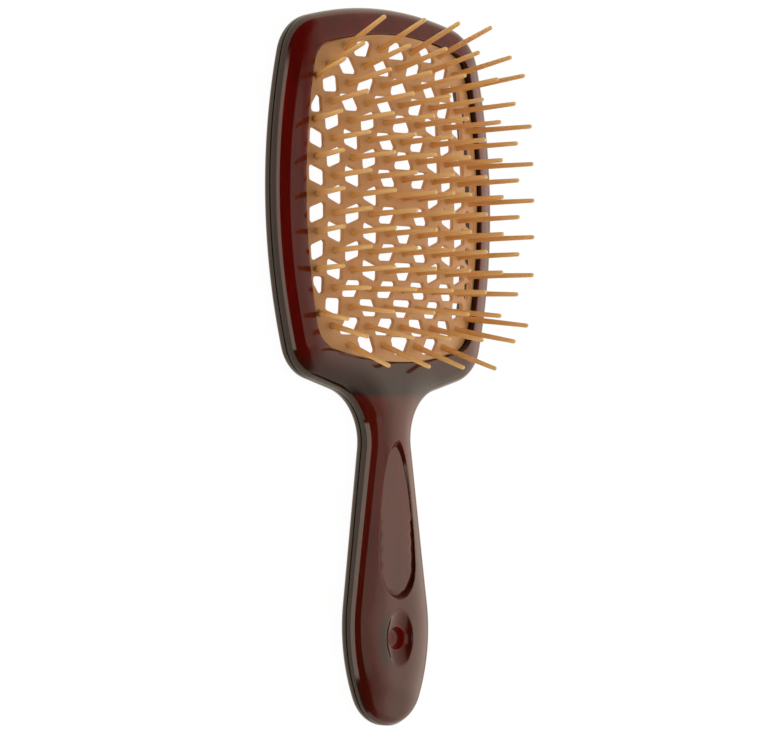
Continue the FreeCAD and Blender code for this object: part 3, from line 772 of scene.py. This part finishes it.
def makeBack():
    h = halves
    skin = Skin()
    seam = h["seam"] - h["seamGap"] / 2
    innerLoop = outlineAt(h["innerDepth"])
    wallFoot = seam - h["grooveHalf"]
    loops = [
        withHeight(innerLoop, seam),
        withHeight(outlineAt(h["grooveDepth"]), seam),
        withHeight(outlineAt(h["mouthDepth"]), seam - h["grooveHalf"] * h["mouthShare"]),
    ]
    loops.append(withHeight(outline, wallFoot))
    # A quarter circle round to the flat back, a little larger along the handle.
    backRound = np.interp(outline[:, 1], h["backBlend"],
                          (h["handleBackRound"], h["ringBackRound"]))
    for angle in np.radians(np.linspace(0, 90, 13)):
        loops.append(withHeight(outlineAt((backRound * (1 - math.cos(angle)))[:, None]),
                                backRound * (1 - math.sin(angle))))
    skin.band(loops)
    c = scoopShape
    rim = []
    # The back window's round edge, its wall, the rail under the pad and the channel.
    reach, r = h["backWindow"], h["windowRound"]
    railTop, railOut, ease = h["railTop"], reach + h["railWall"], h["railRound"]
    for letOut, height in (
            (reach + r, 0), (reach + 0.5 * r, 0.15 * r), (reach + 0.15 * r, 0.5 * r), (reach, r),
            (reach, railTop - ease), (reach + ease, railTop), (railOut - ease, railTop),
            (railOut, railTop - ease), (railOut, h["floor"]),
            (h["channelReach"], h["floor"]), (h["channelReach"], seam)):
        rim.append(withHeight(windowAt(letOut), height))
    skin.band(rim)
    middle = np.array([0, c["centreY"]])
    outward = (scoopLoop(c, 1) - middle) / (c["holeRadius"] + c["holeRound"])
    bore = []
    hole, turn = c["holeRadius"], c["holeBackRound"]
    for radius, height in ((hole + turn, 0), (hole + 0.3 * turn, 0.3 * turn),
                           (hole, turn), (hole, seam)):
        bore.append(withHeight(middle + outward * radius, height))
    skin.band(bore)
    backLoop = outlineAt(backRound[:, None])
    holes = [windowAt(reach + r), middle + outward * (hole + turn)]
    skin.fill([backLoop] + holes,
              gridInside(backLoop, holes, h["backGridStep"], h["backGridClear"]),
              betweenLoops(backLoop, holes), lambda p: np.zeros(len(p)))
    above = [windowAt(h["channelReach"]), middle + outward * c["holeRadius"]]
    skin.fill([innerLoop] + above, np.zeros((0, 2)), betweenLoops(innerLoop, above),
              lambda p: np.full(len(p), seam))
    return skin.make("backHalf", shellPlastic)


frontHalf = makeFront()
backHalf = makeBack()

# The flexible net.

netShape = {
    "rise": 14.0,
    "crossRadius": 126.0,
    "longRadius": 370.0,
    "thickness": 1.3,
    "sideGap": 0.12,
    "rimRound": 0.4,
    "skirt": 0.8,
    "flangeTop": 7.45,
    "flangeUnder": 6.25,
    "flangeReach": 3.6,
    "halfWidth": 31.1,
    "halfPitch": 5.4,
    "holeRound": 0.85,
    "edgeRound": 0.45,
    "holeMargin": 1.9,
    "lowEase": 0.15,
    "gapReach": 6.0,
}

# Columns of pins by their share of the half width, and the rows of pins and of gaps by
# column from the middle, counted in half pitches. Gaps up to sideRows are slanted.
columnShares = np.array([0, 0.209, 0.415, 0.617, 0.813, 1])
columns = range(1 - len(columnShares), len(columnShares))
sideRows = 4
evenRows = (-8, -6, -4, -2, 0, 2, 4, 6, 8)
oddRows = (-7, -5, -3, -1, 1, 3, 5, 7)
pinRows = (oddRows, evenRows, oddRows, evenRows, oddRows, (-4, -2, 0, 2, 4))
holeRows = ((-8, -6, -4, -2, 2, 4, 6, 8), oddRows, evenRows, oddRows,
            (-6, -4, -2, 0, 2, 4, 6), (-5, -3, -1, 1, 3, 5))

holeShares = {
    "side": {"halfWidth": 0.42, "halfSide": 0.44, "slant": 0.19},
    "middle": {"halfWidth": 0.42, "outerHalf": 0.17, "innerHalf": 0.62},
    "flat": {"halfWidth": 0.42, "halfSide": 0.45, "lean": 0.18},
    "centre": {"wideHalf": 0.62, "narrowHalf": 0.29, "halfSide": 0.47},
    "corner": {
        (5, 5): {"halfWidth": 0.4, "base": 0.6, "tip": 0.7, "shift": -0.2},
        (4, 6): {"halfWidth": 0.42, "base": 0.47, "tip": 0.5, "shift": 0.15},
    },
}


def columnX(column):
    return math.copysign(columnShares[abs(column)], column) * netShape["halfWidth"]


# The four corners of one gap of the net about its middle.
def gapCorners(column, row):
    inner = min(abs(column), len(columnShares) - 2)
    pitch = (columnShares[inner + 1] - columnShares[inner]) * netShape["halfWidth"]
    step = netShape["halfPitch"]
    outward, ahead = math.copysign(1, column), math.copysign(1, row)
    slant = -ahead * outward * (1 if column % 2 else -1)
    if column == 0:
        s = holeShares["centre"]
        wide, narrow, high = s["wideHalf"] * pitch, s["narrowHalf"] * pitch, s["halfSide"] * step * ahead
        return [(-wide, -high), (wide, -high), (narrow, high), (-narrow, high)]
    if row == 0:
        s = holeShares["middle"]
        wide, low, high = s["halfWidth"] * pitch * outward, s["outerHalf"] * step, s["innerHalf"] * step
        return [(-wide, -high), (wide, -low), (wide, low), (-wide, high)]
    if (abs(column), abs(row)) in holeShares["corner"]:
        s = holeShares["corner"][abs(column), abs(row)]
        wide, base = s["halfWidth"] * pitch * outward, s["base"] * step * ahead
        return [(-wide, -base), (wide, -base), (wide, s["shift"] * step * ahead),
                (-wide, s["tip"] * step * ahead)]
    if abs(column) > 1 and abs(row) <= sideRows:
        s = holeShares["side"]
        wide, high, lift = s["halfWidth"] * pitch, s["halfSide"] * step, s["slant"] * step * slant
        return [(-wide, -high + lift), (wide, -high - lift), (wide, high - lift), (-wide, high + lift)]
    s = holeShares["flat"]
    wide, high, push = s["halfWidth"] * pitch, s["halfSide"] * step, -s["lean"] * pitch * slant
    return [(-wide - push, -high), (wide - push, -high), (wide + push, high), (-wide + push, high)]


# Every gap's corners about the pad's centre, held a margin inside the window.
def allGaps():
    n, w = netShape, windowShape
    gaps = [np.array(gapCorners(c, r)) + [columnX(c), r * n["halfPitch"]]
            for c in columns for r in holeRows[abs(c)]]
    gaps = np.array(gaps)
    x, y = gaps[..., 0], gaps[..., 1]
    sideX = w["width"] / 2 - w["sideRadius"] + np.sqrt(w["sideRadius"] ** 2 - y ** 2) - n["holeMargin"]
    endY = w["length"] / 2 - w["endRadius"] + np.sqrt(w["endRadius"] ** 2 - x ** 2) - n["holeMargin"]
    gaps = np.stack([np.clip(x, -sideX, sideX), np.clip(y, -endY, endY)], 2)
    area = (gaps[..., 0] * np.roll(gaps[..., 1], -1, 1) - gaps[..., 1] * np.roll(gaps[..., 0], -1, 1)).sum(1)
    gaps[area > 0] = gaps[area > 0][:, ::-1]
    return gaps


# Rounded gaps, let out by a distance: each corner is an arc about the point that lies the
# corner's radius inside both its sides. All gaps at once, as gaps by points by two.
def gapLoops(gaps, letOut, arcCount=5):
    radius = netShape["holeRound"]
    run = np.roll(gaps, -1, 1) - gaps
    run /= np.linalg.norm(run, axis=2)[..., None]
    ahead = np.stack([-run[..., 1], run[..., 0]], 2)
    behind = np.roll(ahead, 1, 1)
    centre = gaps - radius * (ahead + behind) / (1 + (ahead * behind).sum(2))[..., None]
    share = np.linspace(0, 1, arcCount)[None, None, :, None]
    spoke = behind[:, :, None] * (1 - share) + ahead[:, :, None] * share
    spoke /= np.linalg.norm(spoke, axis=3)[..., None]
    loops = centre[:, :, None] + (radius + letOut) * spoke
    return loops.reshape(len(gaps), -1, 2) + [0, outlineShape["padCentreY"]]


# Height of the net: a circle across the pad, swung about an axis across the brush.
def domeHeight(points):
    n = netShape
    swing = n["longRadius"] - n["crossRadius"] + np.sqrt(n["crossRadius"] ** 2 - points[:, 0] ** 2)
    y = points[:, 1] - outlineShape["padCentreY"]
    return n["rise"] - n["longRadius"] + np.sqrt(swing ** 2 - y ** 2)


def makeNet():
    n = netShape
    skin = Skin()
    gaps = allGaps()
    gap, size = len(gaps), gapLoops(gaps, 0).shape[1]

    # Each gap's wall: a rounded top edge, a straight wall and an eased lower edge.
    levels = []
    r = n["edgeRound"]
    for angle in np.radians([0, 25, 50, 75, 90]):
        levels.append((r * (1 - math.sin(angle)), -r * (1 - math.cos(angle))))
    levels += [(0.0, -n["thickness"] + n["lowEase"]), (n["lowEase"], -n["thickness"])]
    stack = []
    for letOut, drop in levels:
        loops = gapLoops(gaps, letOut)
        height = domeHeight(loops.reshape(-1, 2)).reshape(gap, size, 1) + drop
        stack.append(np.concatenate([loops, height], 2))
    for index in range(gap):
        skin.band([level[index] for level in stack])

    # The rim: round edge, outer wall, flange, skirt's inside.
    rim = []
    rimTop = -n["sideGap"] - n["rimRound"]
    for angle in np.radians([0, 22.5, 45, 67.5, 90]):
        points = windowAt(-n["sideGap"] - n["rimRound"] * (1 - math.sin(angle)))
        rim.append(withHeight(points, domeHeight(points) - n["rimRound"] * (1 - math.cos(angle))))
    for letOut, height in ((-n["sideGap"], n["flangeTop"]), (n["flangeReach"], n["flangeTop"]),
                           (n["flangeReach"], n["flangeUnder"]),
                           (-n["sideGap"] - n["skirt"], n["flangeUnder"])):
        rim.append(withHeight(windowAt(letOut), height))
    under = windowAt(-n["sideGap"] - n["skirt"])
    rim.append(withHeight(under, domeHeight(under) - n["thickness"]))
    skin.band(rim)

    # As betweenLoops, but each gap is tested only near its own middle, which is quicker.
    def netOnly(outer, loops):
        def keep(middles):
            kept = insideOf(middles, outer)
            for loop in loops:
                near = np.abs(middles - loop.mean(0)).max(1) < n["gapReach"]
                kept[near] &= ~insideOf(middles[near], loop)
            return kept
        return keep

    topLoops = list(gapLoops(gaps, levels[0][0]))
    topOuter = windowAt(rimTop)
    skin.fill([topOuter] + topLoops, np.zeros((0, 2)), netOnly(topOuter, topLoops), domeHeight)
    lowLoops = list(gapLoops(gaps, levels[-1][0]))
    skin.fill([under] + lowLoops, np.zeros((0, 2)), netOnly(under, lowLoops),
              lambda p: domeHeight(p) - n["thickness"])
    return skin.make("net", netPlastic)


net = makeNet()

# The pins.

pinShape = {
    "length": 20.6,
    "rootRadius": 0.88,
    "tipRadius": 0.64,
    "rootDepth": 0.5,
    "flare": 0.22,
    "sideSplay": 22.0,
    "endSplay": 20.0,
    "evenShare": 0.26,
    "cornerRow": 6.35,
    "cornerInset": 1.3,
    "segments": 16,
}


# Where each pin stands about the pad's centre.
def pinPlaces():
    n, p = netShape, pinShape
    places = [(0.0, 0.0)]
    for column in columns:
        places += [(columnX(column), row * n["halfPitch"]) for row in pinRows[abs(column)]]
    x, y = n["halfWidth"] - p["cornerInset"], p["cornerRow"] * n["halfPitch"]
    return np.array(places + [(-x, -y), (-x, y), (x, -y), (x, y)])


# The way each pin points: the sideways slope grows as a share plus a cube, the endways
# slope as the fourth power of the place along the pad.
def pinLeans(places):
    n, p = netShape, pinShape
    across = places[:, 0] / n["halfWidth"]
    along = places[:, 1] / (evenRows[-1] * n["halfPitch"])
    side = math.tan(math.radians(p["sideSplay"])) * (
        p["evenShare"] * across + (1 - p["evenShare"]) * across ** 3)
    end = math.tan(math.radians(p["endSplay"])) * np.sign(along) * along ** 4
    lean = np.stack([side, end, np.ones(len(places))], 1)
    return lean / np.linalg.norm(lean, axis=1)[:, None]


# A tapered pin turned about its own axis, with a small flare at its foot and a round tip.
def makePins():
    p = pinShape
    tip = p["length"] - p["tipRadius"]
    profile = [(0.01, -p["rootDepth"]), (p["rootRadius"] + p["flare"], -p["rootDepth"]),
               (p["rootRadius"] + p["flare"], 0.0), (p["rootRadius"] + p["flare"] * 0.4, 0.22),
               (p["rootRadius"] + 0.03, 0.55), (p["rootRadius"], 1.0)]
    profile += [(p["rootRadius"] + (p["tipRadius"] - p["rootRadius"]) * s, 1 + (tip - 1) * s)
                for s in (0.33, 0.66, 1.0)]
    profile += [(p["tipRadius"] * math.cos(a), tip + p["tipRadius"] * math.sin(a))
                for a in np.radians([22.5, 45, 67.5, 86])]
    profile = np.array(profile)
    places = pinPlaces()
    leans = pinLeans(places)
    feet = np.column_stack([places + [0, outlineShape["padCentreY"]],
                            domeHeight(places + [0, outlineShape["padCentreY"]])])
    side = np.cross(np.broadcast_to([0.0, 1.0, 0.0], leans.shape), leans)
    side /= np.linalg.norm(side, axis=1)[:, None]
    ahead = np.cross(leans, side)
    angles = np.linspace(0, 2 * math.pi, p["segments"], endpoint=False)
    rim = (side[:, None] * np.cos(angles)[None, :, None]
           + ahead[:, None] * np.sin(angles)[None, :, None])
    rings = (feet[:, None, None] + profile[None, :, None, 0:1] * rim[:, None]
             + profile[None, :, None, 1:2] * leans[:, None, None])
    skin = Skin()
    ring = np.arange(p["segments"])
    for pin in rings:
        skin.band(list(pin))
        first = skin.count - pin.shape[0] * pin.shape[1]
        skin.faces.append((first + ring[::-1]).tolist())
        skin.faces.append((skin.count - p["segments"] + ring).tolist())
    return skin.make("pins", pinPlastic)


pins = makePins()

for piece in (frontHalf, backHalf):
    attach(piece, "handle_frame")
for piece in (net, pins):
    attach(piece, "pad")
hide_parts("front_shell")
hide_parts("back_shell")
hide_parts("pin_pad")
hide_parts("pin_pad")

# Floor, world and lamps.

studio = {
    "floorHalf": 3.0,
    "floorHeight": -0.0003,
    "floorStrength": 1.03,
    "floorGlow": 0.94,
    "paper": "f6f6f6",
    "warmWhite": "fff4e1",
    # The white tent's brightness by azimuth in degrees, from +X towards +Y.
    "tent": ((-115, 0.03), (-92, 0.12), (-74, 0.75), (-45, 1.0), (-22, 1.6), (-8, 1.8), (10, 1.75),
             (19, 1.0), (40, 0.75), (58, 0.6), (76, 0.1), (100, 0.03)),
    "tentPeak": 2.0,
    # It fades with height, in degrees, down to a share at the top.
    "tentFade": (50.0, 90.0),
    "tentTopShare": 0.45,
    "zenith": 0.82,
    "zenithFrom": 73.5,
    "zenithTo": 78.0,
    # A low window behind the camera's side, about -X.
    "window": 2.6,
    "windowHalfAngle": 28.0,
    "windowTop": 18.5,
    "windowSoftness": 2.0,
}


# Light from around the brush, by direction: a bright tent on the right that fades towards
# the handle's side, a lit ceiling, a low window on the left and otherwise darkness. The
# camera alone sees plain white.
def makeWorld(s):
    world = bpy.data.worlds.new("studio")
    world.use_nodes = True
    tree = world.node_tree
    tree.nodes.clear()

    def step(value, low, high, fromOne=0.0, toOne=1.0):
        return (node(tree, "ShaderNodeMapRange", {
            "Value": value, "From Min": low, "From Max": high, "To Min": fromOne, "To Max": toOne},
            interpolation_type="SMOOTHSTEP"), 0)

    def maths(operation, *values):
        return (node(tree, "ShaderNodeMath", dict(enumerate(values)), operation=operation), 0)

    def blendOf(share, first, second):
        return (node(tree, "ShaderNodeMix", {0: share, 2: first, 3: second}), 0)

    direction = node(tree, "ShaderNodeTexCoord")
    parts = node(tree, "ShaderNodeSeparateXYZ", {0: (direction, "Generated")})
    azimuth = maths("DEGREES", maths("ARCTAN2", (parts, 1), (parts, 0)))
    height = maths("DEGREES", maths("ARCSINE", (parts, 2)))
    place = maths("DIVIDE", maths("ADD", azimuth, 180.0), 360.0)
    ramp = node(tree, "ShaderNodeValToRGB", {0: place})
    stops = ramp.color_ramp.elements
    while len(stops) < len(s["tent"]):
        stops.new(0.5)
    for stop, (angle, level) in zip(stops, s["tent"]):
        stop.position = (angle + 180) / 360
        stop.color = [level / s["tentPeak"]] * 3 + [1]
    fade = (node(tree, "ShaderNodeMapRange", {
        "Value": height, "From Min": s["tentFade"][0], "From Max": s["tentFade"][1],
        "To Min": s["tentPeak"], "To Max": s["tentPeak"] * s["tentTopShare"]}), 0)
    tent = maths("MULTIPLY", (ramp, 0), fade)
    ceiling = maths("MULTIPLY", step(height, s["zenithFrom"], s["zenithTo"]), s["zenith"])
    sky = maths("MAXIMUM", tent, ceiling)
    soft = s["windowSoftness"]
    beside = 180 - s["windowHalfAngle"]
    inWindow = maths("MULTIPLY", step(maths("ABSOLUTE", azimuth), beside - soft, beside + soft),
                     step(height, s["windowTop"] - soft, s["windowTop"] + soft, 1.0, 0.0))
    light = blendOf(inWindow, sky, s["window"])
    path = node(tree, "ShaderNodeLightPath")
    strength = blendOf((path, "Is Camera Ray"), light, 1.0)
    colour = node(tree, "ShaderNodeMix", {
        0: (path, "Is Camera Ray"), 6: linear(s["warmWhite"]), 7: (1, 1, 1, 1)}, data_type="RGBA")
    glow = node(tree, "ShaderNodeBackground", {"Color": (colour, 2), "Strength": strength})
    node(tree, "ShaderNodeOutputWorld", {"Surface": (glow, 0)})
    bpy.context.scene.world = world


# A glowing white table: most of its light is its own, so that the shadow stays faint.
def makeFloor(s):
    material, tree = newMaterial("opalLightTable")
    paper = node(tree, "ShaderNodeBsdfDiffuse", {"Color": linear(s["paper"])})
    path = node(tree, "ShaderNodeLightPath")
    colour = node(tree, "ShaderNodeMix", {
        0: (path, "Is Camera Ray"), 6: linear(s["warmWhite"]), 7: (1, 1, 1, 1)}, data_type="RGBA")
    glow = node(tree, "ShaderNodeEmission", {
        "Color": (colour, 2), "Strength": s["floorStrength"]})
    both = node(tree, "ShaderNodeMixShader", {0: s["floorGlow"], 1: (paper, 0), 2: (glow, 0)})
    node(tree, "ShaderNodeOutputMaterial", {"Surface": (both, 0)})
    mesh = bpy.data.meshes.new("lightTable")
    reach = s["floorHalf"]
    corners = [(-reach, -reach), (reach, -reach), (reach, reach), (-reach, reach)]
    mesh.from_pydata([(x, y, s["floorHeight"]) for x, y in corners], [], [(0, 1, 2, 3)])
    mesh.materials.append(material)
    floor = bpy.data.objects.new("lightTable", mesh)
    bpy.context.scene.collection.objects.link(floor)


fillLamp = {
    "place": (-0.2, 0.1, 1.5),
    "target": (0.0, 0.0, 0.0),
    "side": 1.6,
    "watts": 9.0,
}


# A square white lamp overhead, in metres, that no gloss shows.
def makeFill(s):
    data = bpy.data.lights.new("overheadFill", "AREA")
    data.shape = "RECTANGLE"
    data.size, data.size_y, data.energy = s["side"], s["side"], s["watts"]
    lamp = bpy.data.objects.new("overheadFill", data)
    lamp.location = s["place"]
    ahead = Vector(s["target"]) - Vector(s["place"])
    lamp.rotation_euler = ahead.to_track_quat("-Z", "Y").to_euler()
    lamp.visible_glossy = False
    bpy.context.scene.collection.objects.link(lamp)


makeFloor(studio)
makeWorld(studio)
makeFill(fillLamp)
print("floor, world and lamp")

# The camera, as found from the pins' feet and tips in the photograph.

cameraView = {
    "place": (-0.89745, -0.05377, 0.92615),
    "right": (0.71578, -0.01204, 0.69822),
    "up": (-0.02072, 0.99905, 0.03846),
    "back": (-0.69802, -0.04199, 0.71485),
    "focalPixels": 4397.2,
    "imageWidth": 780,
    "sensor": 36.0,
}


def makeCamera(c):
    data = bpy.data.cameras.new("camera")
    data.sensor_fit = "HORIZONTAL"
    data.sensor_width = c["sensor"]
    data.lens = c["focalPixels"] / c["imageWidth"] * c["sensor"]
    data.clip_end = 20
    camera = bpy.data.objects.new("camera", data)
    turn = Matrix((c["right"], c["up"], c["back"])).transposed()
    camera.matrix_world = Matrix.Translation(c["place"]) @ turn.to_4x4()
    bpy.context.scene.collection.objects.link(camera)
    bpy.context.scene.camera = camera


makeCamera(cameraView)
bpy.context.scene.view_settings.view_transform = "Standard"
